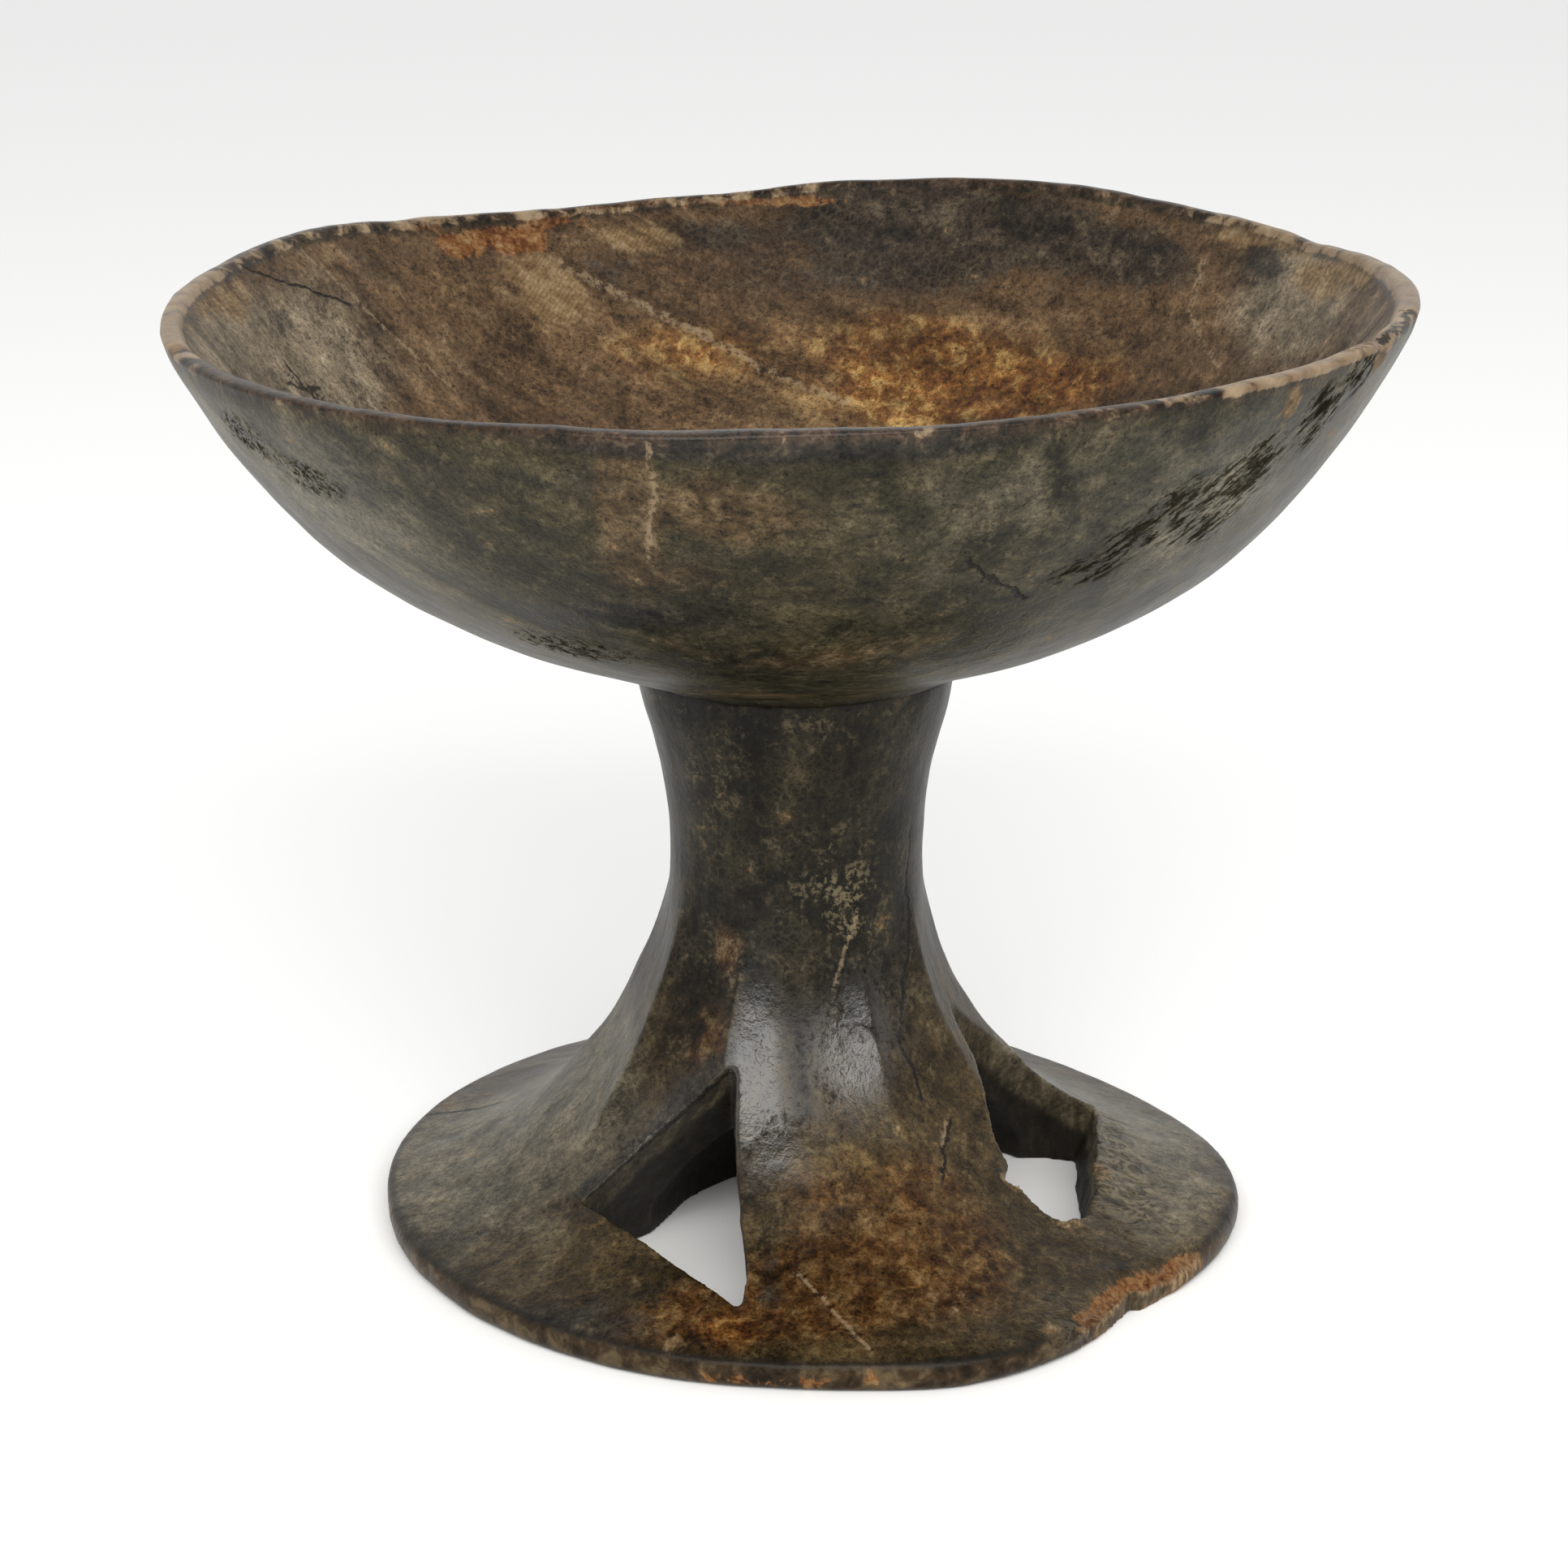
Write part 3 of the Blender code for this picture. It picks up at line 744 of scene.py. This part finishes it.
# Colour ramps: (place on the ramp, linear colour)
PALETTE = {
    "green": ((0.38, (0.008, 0.008, 0.004)), (0.46, (0.021, 0.018, 0.009)),
        (0.53, (0.037, 0.03, 0.015)), (0.62, (0.078, 0.062, 0.032))),
    "inside": ((0.38, (0.026, 0.015, 0.008)), (0.46, (0.052, 0.03, 0.014)),
        (0.54, (0.09, 0.053, 0.026)), (0.63, (0.148, 0.102, 0.056))),
    "stem": ((0.39, (0.004, 0.004, 0.003)), (0.47, (0.009, 0.008, 0.005)),
        (0.54, (0.017, 0.014, 0.008)), (0.62, (0.046, 0.038, 0.021))),
    "foot": ((0.38, (0.01, 0.007, 0.003)), (0.47, (0.028, 0.018, 0.007)),
        (0.54, (0.045, 0.03, 0.012)), (0.63, (0.08, 0.058, 0.028))),
    "sheen_ash": ((0.38, (0.058, 0.051, 0.034)), (0.5, (0.102, 0.09, 0.061)),
        (0.62, (0.16, 0.14, 0.097))),
    "inside_sheen_ash": ((0.38, (0.11, 0.087, 0.055)), (0.5, (0.17, 0.14, 0.094)),
        (0.62, (0.24, 0.204, 0.148))),
    "rust": ((0.36, (0.024, 0.007, 0.002)), (0.48, (0.058, 0.023, 0.006)),
        (0.6, (0.105, 0.055, 0.018))),
    "brown": ((0.34, (0.028, 0.015, 0.006)), (0.48, (0.06, 0.036, 0.016)),
        (0.62, (0.112, 0.074, 0.039))),
    "amber": ((0.38, (0.045, 0.014, 0.003)), (0.48, (0.12, 0.05, 0.011)),
        (0.58, (0.3, 0.19, 0.062))),
    "soot_and_shade": ((0.4, (0.006, 0.006, 0.006)), (0.62, (0.03, 0.025, 0.018))),
    "scraped": ((0.36, (0.085, 0.048, 0.02)), (0.5, (0.17, 0.108, 0.05)),
        (0.64, (0.29, 0.215, 0.12))),
    "orange": ((0.38, (0.035, 0.01, 0.003)), (0.47, (0.115, 0.038, 0.009)),
        (0.55, (0.19, 0.09, 0.03)), (0.66, (0.25, 0.17, 0.085))),
    "lip": ((0.42, (0.008, 0.006, 0.005)), (0.54, (0.045, 0.025, 0.015)),
        (0.64, (0.105, 0.068, 0.044))),
    "bare": ((0.38, (0.13, 0.078, 0.04)), (0.62, (0.29, 0.215, 0.13))),
    "torn": ((0.38, (0.05, 0.028, 0.013)), (0.5, (0.17, 0.112, 0.058)), (0.62, (0.3, 0.225, 0.13))),
    "flank": ((0.4, (0.01, 0.006, 0.003)), (0.5, (0.038, 0.023, 0.011)),
        (0.6, (0.105, 0.075, 0.04))),
    "cut": ((0.38, (0.02, 0.016, 0.01)), (0.5, (0.054, 0.043, 0.026)), (0.62, (0.12, 0.096, 0.06))),
}


class Graph:
    """Small helper that adds shader nodes and links them."""

    def __init__(self, material):
        material.use_nodes = True
        self.tree = material.node_tree
        self.shader = self.tree.nodes["Principled BSDF"]
        self.place = self.add("ShaderNodeTexCoord").outputs["Object"]

    def add(self, kind, **settings):
        node = self.tree.nodes.new(kind)
        for key, value in settings.items():
            setattr(node, key, value)
        return node

    def put(self, value, socket):
        if isinstance(value, bpy.types.NodeSocket):
            self.tree.links.new(value, socket)
        else:
            socket.default_value = value

    def math(self, operation, a, b=0.0, c=None, clamp=False):
        node = self.add("ShaderNodeMath", operation=operation, use_clamp=clamp)
        self.put(a, node.inputs[0])
        self.put(b, node.inputs[1])
        if c is not None:
            self.put(c, node.inputs[2])
        return node.outputs[0]

    def times(self, a, b, clamp=False):
        return self.math("MULTIPLY", a, b, clamp=clamp)

    def minus(self, a, b, clamp=False):
        return self.math("SUBTRACT", a, b, clamp=clamp)

    def muladd(self, a, b, c):
        return self.math("MULTIPLY_ADD", a, b, c)

    def total(self, *terms):
        """Weighted sum of (socket, weight) pairs."""
        out = 0.0
        for socket, weight in terms:
            out = self.muladd(socket, weight, out)
        return out

    def vector(self, operation, a, b=(0.0, 0.0, 0.0)):
        node = self.add("ShaderNodeVectorMath", operation=operation)
        self.put(a, node.inputs[0])
        self.put(b, node.inputs["Scale" if operation == "SCALE" else 1])
        return node.outputs["Value" if operation in ("LENGTH", "DOT_PRODUCT") else 0]

    def turned(self, run, side, up, squeeze):
        """Coordinates along three directions, the first one squeezed."""
        node = self.add("ShaderNodeCombineXYZ")
        self.put(self.times(self.vector("DOT_PRODUCT", self.place, run), squeeze),
                 node.inputs[0])
        self.put(self.vector("DOT_PRODUCT", self.place, side), node.inputs[1])
        self.put(self.vector("DOT_PRODUCT", self.place, up), node.inputs[2])
        return node.outputs[0]

    def scaled(self, stretch):
        return self.vector("MULTIPLY", self.place, stretch)

    def noise(self, scale, detail=4.0, rough=0.6, distort=0.0, place=None, shift=0.0):
        place = self.place if place is None else place
        if shift:
            place = self.vector("ADD", place, (shift, shift * 0.37, shift * 0.71))
        node = self.add("ShaderNodeTexNoise")
        self.put(place, node.inputs["Vector"])
        node.inputs["Scale"].default_value = scale
        node.inputs["Detail"].default_value = detail
        node.inputs["Roughness"].default_value = rough
        node.inputs["Distortion"].default_value = distort
        return node.outputs["Fac"]

    def ramp(self, value, low, high):
        """0 at low, 1 at high, smooth between."""
        node = self.add("ShaderNodeMapRange", interpolation_type="SMOOTHSTEP")
        self.put(value, node.inputs["Value"])
        node.inputs["From Min"].default_value = low
        node.inputs["From Max"].default_value = high
        return node.outputs["Result"]

    def colours(self, value, name):
        """A colour ramp of the palette."""
        stops = PALETTE[name]
        node = self.add("ShaderNodeValToRGB")
        self.put(value, node.inputs["Fac"])
        band = node.color_ramp
        while len(band.elements) < len(stops):
            band.elements.new(0.5)
        for element, (at, colour) in zip(band.elements, stops):
            element.position = at
            element.color = (*colour, 1.0)
        return node.outputs["Color"]

    def mix(self, share, a, b):
        node = self.add("ShaderNodeMix", data_type="RGBA")
        self.put(share, node.inputs[0])
        self.put(a if isinstance(a, bpy.types.NodeSocket) else (*a, 1.0), node.inputs[6])
        self.put(b if isinstance(b, bpy.types.NodeSocket) else (*b, 1.0), node.inputs[7])
        return node.outputs[2]

    def over(self, colour, share, strength, top):
        """One colour laid over another, by share times strength."""
        return self.mix(self.times(share, strength), colour, top)

    def blend(self, share, a, b):
        node = self.add("ShaderNodeMix", data_type="FLOAT")
        self.put(share, node.inputs[0])
        self.put(a, node.inputs[2])
        self.put(b, node.inputs[3])
        return node.outputs[0]

    def mask(self, name):
        return self.add("ShaderNodeAttribute", attribute_name=name).outputs["Fac"]

    def area(self, name, texture, spread, low, high):
        """A painted area whose border follows a texture."""
        value = self.muladd(self.minus(texture, 0.5), spread, self.mask(name))
        return self.ramp(value, low, high)

    def line(self, name, texture, wobble):
        """1 on the named lines, bent by a texture."""
        bend = self.times(self.minus(texture, 0.5), wobble)
        gap = self.math("ABSOLUTE", self.math("ADD", self.mask(name), bend))
        near = self.minus(1.0, self.ramp(gap, 0.35, 1.0))
        return self.times(near, self.mask(name + "_here"))


# Plain colours mixed over the ramps
GRIME = (0.009, 0.008, 0.006)
TAN_FLECK = (0.17, 0.136, 0.078)
INSIDE_HAIR = (0.27, 0.19, 0.105)
OUTSIDE_HAIR = (0.15, 0.115, 0.065)
PIN_HOLE = (0.006, 0.005, 0.004)
PIT_SHADE = (0.008, 0.007, 0.005)
DARK_CORNER = (0.008, 0.007, 0.006)
LIT_ARRIS = (0.085, 0.068, 0.042)
# painted shade in the hollow and at the bowl's join, and dark wood along the window edges
SHADE_AND_DARK_WOOD = (0.006, 0.005, 0.004)
RIDGE_HIGHLIGHT = (0.165, 0.135, 0.09)
RIDGE_SHADE = (0.012, 0.01, 0.006)
SCRATCH = (0.24, 0.175, 0.105)
CRACK = (0.005, 0.004, 0.003)
POLISHED = (0.014, 0.014, 0.014)
POLISHED_ROUGH = 0.18
BARE_ROUGH = 0.62
PIT_ROUGH = 0.95
INSIDE_ROUGH = 0.6
CUT_ROUGH = 0.66
SATIN_GLEAM = 0.12
POLISHED_GLEAM = 0.62
BUMP_STRENGTH = 0.6
BUMP_HEIGHT = 0.001
CRACKLE_SCALE = 330.0
CHATTER_SCALE = 4200.0


def carved_wood(name, kind):
    """Worn carved wood; kind is bowl, stem or foot."""
    material = bpy.data.materials.new(name)
    g = Graph(material)
    huge = g.noise(13.0, 2.0, 0.5, 0.8)
    large = g.noise(42.0, 4.0, 0.62, 0.9, shift=3.1)
    medium = g.noise(150.0, 4.0, 0.66, 0.5, shift=7.7)
    small = g.noise(520.0, 3.0, 0.7, 0.3, shift=1.3)
    fine = g.noise(1350.0, 2.0, 0.7, shift=5.5)
    tone = g.muladd(g.total((huge, 0.27), (large, 0.34), (medium, 0.39)), 0.78, 0.11)
    speck = g.total((small, 2.8), (fine, 2.5))
    if kind == "bowl":
        tool_place = g.turned(TOOL_RUN, TOOL_SIDE, TOOL_UP, 0.07)
        run = g.noise(150.0, 4.0, 0.62, place=tool_place)
        bands = g.ramp(g.noise(60.0, 1.0, 0.4, place=tool_place, shift=4.4), 0.38, 0.62)
    else:
        long_place = g.scaled((1.0, 1.0, 0.2))
        bands = g.ramp(g.noise(90.0, 1.0, 0.4, place=long_place, shift=4.4), 0.35, 0.65)
        run = g.noise(240.0, 4.0, 0.62, place=g.scaled((1.0, 1.0, 0.12)))
    cell = g.add("ShaderNodeTexVoronoi", feature="DISTANCE_TO_EDGE")
    g.put(g.vector("ADD", g.place, g.vector("SCALE", g.noise(300.0, 2.0), 0.004)),
          cell.inputs["Vector"])
    cell.inputs["Scale"].default_value = CRACKLE_SCALE
    crackle = g.minus(1.0, g.ramp(cell.outputs["Distance"], 0.02, 0.17))
    crackle = g.times(crackle, g.ramp(large, 0.4, 0.62))

    if kind == "bowl":
        colour = g.mix(g.mask("inner"), g.colours(tone, "green"), g.colours(tone, "inside"))
    else:
        colour = g.mix(g.mask("flare"), g.colours(tone, "stem"), g.colours(tone, "foot"))
    # painted sheen: grey laid on the sides where they reflect the pale room
    grey_sheen = g.area("grey_sheen", large, 1.0, 0.15, 0.95)
    sheen_ash_colour = g.colours(tone, "sheen_ash")
    if kind == "bowl":
        sheen_ash_colour = g.mix(g.mask("inner"), sheen_ash_colour, g.colours(tone, "inside_sheen_ash"))
    colour = g.over(colour, grey_sheen, 0.75, sheen_ash_colour)

    warm = g.area("warm", large, 1.3, 0.2, 0.75)
    rust = g.colours(medium, "brown" if kind == "bowl" else "rust")
    colour = g.over(colour, warm, 0.7, rust)
    gold = g.area("golden", large, 1.1, 0.15, 0.8)
    amber = g.colours(g.total((medium, 0.6), (huge, 0.4)), "amber")
    colour = g.over(colour, gold, 0.85, amber)

    # soot and grime, with painted shade in the groove and crease beside the front facets
    dark = g.area("dark", g.total((large, 0.5), (medium, 0.5)), 2.0, 0.25, 0.7)
    soot_and_shade = g.colours(medium, "soot_and_shade")
    colour = g.over(colour, dark, 0.85, soot_and_shade)
    grime = g.ramp(g.total((large, 0.45), (medium, 0.35), (small, 0.2)), 0.46, 0.39)
    colour = g.over(colour, grime, 0.32, GRIME)

    # light and dark grain of the surface
    colour = g.vector("SCALE", colour, g.math("ADD", speck, -1.65))
    streak = g.muladd(run, 2.2, -0.1)
    streak = g.times(streak, g.muladd(bands, 0.4, 0.8))
    colour = g.vector("SCALE", colour, streak)
    tan = g.ramp(g.muladd(g.mask("tan"), 0.1, medium), 0.52, 0.64)
    tan = g.times(tan, g.ramp(small, 0.47, 0.58))
    tan_share = g.muladd(g.mask("tan"), 0.5, 0.15)
    colour = g.over(colour, tan, tan_share, TAN_FLECK)
    if kind == "bowl":
        hair = g.times(crackle, g.muladd(g.mask("inner"), 0.07, 0.02))
        colour = g.mix(hair, colour, INSIDE_HAIR)
    else:
        colour = g.over(colour, crackle, 0.1, OUTSIDE_HAIR)
    peck = g.times(g.ramp(fine, 0.6, 0.68), g.ramp(large, 0.42, 0.55))
    colour = g.over(colour, peck, 0.65, PIN_HOLE)

    # painted shade inside the small pits
    pit_noise = g.noise(430.0, 5.0, 0.78, 0.4, place=g.turned(PIT_RUN, PIT_SIDE, PIT_UP, 0.35))
    pits = g.ramp(g.muladd(g.mask("pitted"), 0.1, pit_noise), 0.515, 0.625)
    pits = g.times(pits, g.ramp(g.mask("pitted"), 0.05, 0.35))
    colour = g.over(colour, pits, 0.8, PIT_SHADE)

    # places scraped to lighter wood, with chatter lines
    pale = g.area("pale", g.total((medium, 0.35), (run, 0.65)), 2.4, 0.3, 0.85)
    chatter = g.times(g.vector("DOT_PRODUCT", g.place, TOOL_RUN), CHATTER_SCALE)
    chatter = g.math("SINE", g.muladd(medium, 14.0, chatter))
    scraped = g.colours(g.total((run, 0.5), (small, 0.5)), "scraped")
    scraped = g.vector("SCALE", scraped, g.muladd(chatter, 0.13, 0.92))
    colour = g.over(colour, pale, 0.8, scraped)
    raw_mask = g.math("MAXIMUM", g.mask("raw"), g.times(g.mask("rawedge"), 0.85))
    ragged = g.minus(g.total((large, 0.4), (medium, 0.6)), 0.5)
    raw = g.ramp(g.muladd(ragged, 3.2, raw_mask), 0.38, 0.62)
    orange = g.colours(g.total((medium, 0.5), (small, 0.5)), "orange")
    colour = g.over(colour, raw, 0.85, orange)

    if kind == "bowl":
        # the lip: brown and polished in front, worn to light wood at the sides
        lip_tone = g.colours(g.total((medium, 0.6), (small, 0.4)), "lip")
        colour = g.over(colour, g.mask("lip"), 0.8, lip_tone)
        worn = g.area("wear", g.total((medium, 0.5), (large, 0.5)), 2.6, 0.45, 0.75)
        edge = g.muladd(g.minus(medium, 0.5), 0.8, g.mask("lip"))
        worn = g.times(worn, g.ramp(edge, 0.58, 0.8))
        bare = g.colours(g.total((medium, 0.6), (large, 0.4)), "bare")
        colour = g.over(colour, worn, 0.8, bare)
    else:
        # fibres of the broken edge
        fibre = g.noise(620.0, 4.0, 0.7, place=g.scaled((1.0, 1.0, 0.15)), shift=2.9)
        torn = g.colours(fibre, "torn")
        colour = g.over(colour, g.mask("torn"), 0.85, torn)
        # side of the foot, its dark top corner, the cut faces of the windows, and painted shade
        # deep in the hollow
        flank = g.colours(g.total((large, 0.4), (medium, 0.6)), "flank")
        colour = g.mix(g.times(g.mask("side"), g.minus(0.8, raw)), colour, flank)
        colour = g.over(colour, g.mask("corner"), 0.85, DARK_CORNER)
        inner_wood = g.colours(g.total((run, 0.6), (small, 0.4)), "cut")
        colour = g.over(colour, g.mask("cutface"), 0.85, inner_wood)
        lit = g.minus(g.ramp(medium, 0.4, 0.6), dark, clamp=True)
        arris = g.times(g.mask("rim"), lit)
        colour = g.over(colour, arris, 0.6, LIT_ARRIS)
        colour = g.over(colour, g.mask("rim"), dark, SHADE_AND_DARK_WOOD)
        # painted shade deep inside the hollow
        colour = g.over(colour, g.mask("hollow_shade"), 0.85, SHADE_AND_DARK_WOOD)
        # wavy tooth marks beside the right window, with painted highlight on the ridge tops and
        # painted shade between them
        gnaw = g.noise(170.0, 3.0, 0.6, 0.8, place=g.scaled((0.35, 1.0, 1.2)), shift=6.1)
        ridge = g.math("SINE", g.times(gnaw, 27.0))
        ridges = g.times(g.mask("gnawed"), ridge)
        colour = g.mix(g.times(ridges, 0.55, clamp=True), colour, RIDGE_HIGHLIGHT)
        colour = g.mix(g.times(ridges, -0.6, clamp=True), colour, RIDGE_SHADE)
    # painted shade where the bowl meets the stem
    colour = g.over(colour, g.mask("join_shade"), 0.8, SHADE_AND_DARK_WOOD)

    cracks = g.line("crack", medium, 7.0)
    scratches = g.line("scratch", medium, 4.0)
    scratches = g.times(scratches, g.ramp(g.total((small, 0.6), (medium, 0.4)), 0.42, 0.56))
    colour = g.over(colour, scratches, 0.6, SCRATCH)
    colour = g.over(colour, cracks, 0.92, CRACK)

    rough = g.math("ADD", g.total((medium, 0.22), (small, 0.16)), 0.17)
    polish = g.times(g.mask("gloss"), g.ramp(g.total((large, 0.5), (small, 0.5)), 0.36, 0.5))
    rough = g.blend(polish, rough, POLISHED_ROUGH)
    if kind != "bowl":
        colour = g.over(colour, polish, 0.5, POLISHED)
    rough = g.blend(g.times(g.math("MAXIMUM", pale, raw), 0.8), rough, BARE_ROUGH)
    rough = g.blend(pits, rough, PIT_ROUGH)
    if kind == "bowl":
        rough = g.blend(g.times(g.mask("inner"), 0.55), rough, INSIDE_ROUGH)
    else:
        rough = g.blend(g.times(g.mask("cutface"), 0.8), rough, CUT_ROUGH)

    height = g.total((large, 0.45), (bands, 0.28), (medium, 0.34), (small, 0.2), (fine, 0.06),
                     (run, 0.22), (crackle, -0.06), (pits, -0.35), (cracks, -0.9),
                     (scratches, -0.15))
    if kind != "bowl":
        height = g.total((height, 1.0), (ridges, 0.6))
    bump = g.add("ShaderNodeBump")
    bump.inputs["Strength"].default_value = BUMP_STRENGTH
    bump.inputs["Distance"].default_value = BUMP_HEIGHT
    g.put(height, bump.inputs["Height"])
    g.put(bump.outputs[0], g.shader.inputs["Normal"])
    g.put(colour, g.shader.inputs["Base Color"])
    g.put(rough, g.shader.inputs["Roughness"])
    gleam = g.times(g.blend(polish, SATIN_GLEAM, POLISHED_GLEAM), g.minus(1.0, pits))
    g.put(gleam, g.shader.inputs["Specular IOR Level"])
    return material


for piece, kind in ((bowl, "bowl"), (stem, "stem"), (foot, "foot")):
    piece.data.materials.append(carved_wood(kind + "_patina", kind))

# -------- floor, light, camera
FLOOR_SIZE = 60.0
FLOOR_COLOUR = (0.9, 0.9, 0.89, 1)
BACKDROP_COLOUR = (0.99, 0.995, 1.0, 1)
NEAR_STRENGTH = 0.38
FAR_STRENGTH = 1.12
KEY_PLACE = (0.1, -1.6, 1.45)
KEY_TARGET = (0.0, -0.05, 0.07)
KEY_SIZE = (2.7, 1.3)
KEY_POWER = 56.0
KEY_COLOUR = (1.0, 0.985, 0.96)
CAMERA_PLACE = (-0.0014, -1.0519, 0.4962)
CAMERA_DOWN = 18.682
CAMERA_LENS = 80.12
CAMERA_SENSOR = 36.0

floor_mesh = bpy.data.meshes.new("floor")
floor_bm = bmesh.new()
bmesh.ops.create_grid(floor_bm, x_segments=2, y_segments=2, size=FLOOR_SIZE)
floor_bm.to_mesh(floor_mesh)
floor_bm.free()
floor = new_object("floor", floor_mesh)
floor.location = (0.0, 0.0, -0.0002)
floor_mat = bpy.data.materials.new("pale_floor")
floor_mat.use_nodes = True
floor_bsdf = floor_mat.node_tree.nodes["Principled BSDF"]
floor_bsdf.inputs["Base Color"].default_value = FLOOR_COLOUR
floor_bsdf.inputs["Roughness"].default_value = 0.9
floor.data.materials.append(floor_mat)

world = bpy.data.worlds.new("studio")
world.use_nodes = True
sky = world.node_tree
# pale backdrop all round and behind, dimmer on the near side of the room
direction = sky.nodes.new("ShaderNodeTexCoord").outputs["Generated"]
split = sky.nodes.new("ShaderNodeSeparateXYZ")
sky.links.new(direction, split.inputs[0])
depth = sky.nodes.new("ShaderNodeMapRange")
depth.interpolation_type = "SMOOTHSTEP"
depth.inputs["From Min"].default_value = -0.75
depth.inputs["From Max"].default_value = 0.25
depth.inputs["To Min"].default_value = NEAR_STRENGTH
depth.inputs["To Max"].default_value = FAR_STRENGTH
sky.links.new(split.outputs[1], depth.inputs["Value"])
backdrop = sky.nodes["Background"]
backdrop.inputs["Color"].default_value = BACKDROP_COLOUR
sky.links.new(depth.outputs[0], backdrop.inputs["Strength"])
bpy.context.scene.world = world

key = bpy.data.lights.new("key", "AREA")
key.shape = "RECTANGLE"
key.size, key.size_y = KEY_SIZE
key.energy = KEY_POWER
key.color = KEY_COLOUR
softbox = new_object("key", key)
softbox.location = KEY_PLACE
aim = Vector(KEY_TARGET) - Vector(KEY_PLACE)
softbox.rotation_euler = aim.to_track_quat("-Z", "Y").to_euler()

camera_data = bpy.data.cameras.new("camera")
camera_data.sensor_width = CAMERA_SENSOR
camera_data.lens = CAMERA_LENS
camera_data.clip_start = 0.05
camera_data.clip_end = 50.0
camera = new_object("camera", camera_data)
camera.location = CAMERA_PLACE
camera.rotation_euler = (math.radians(90.0 - CAMERA_DOWN), 0.0, 0.0)
bpy.context.scene.camera = camera
bpy.context.scene.view_settings.view_transform = "Standard"
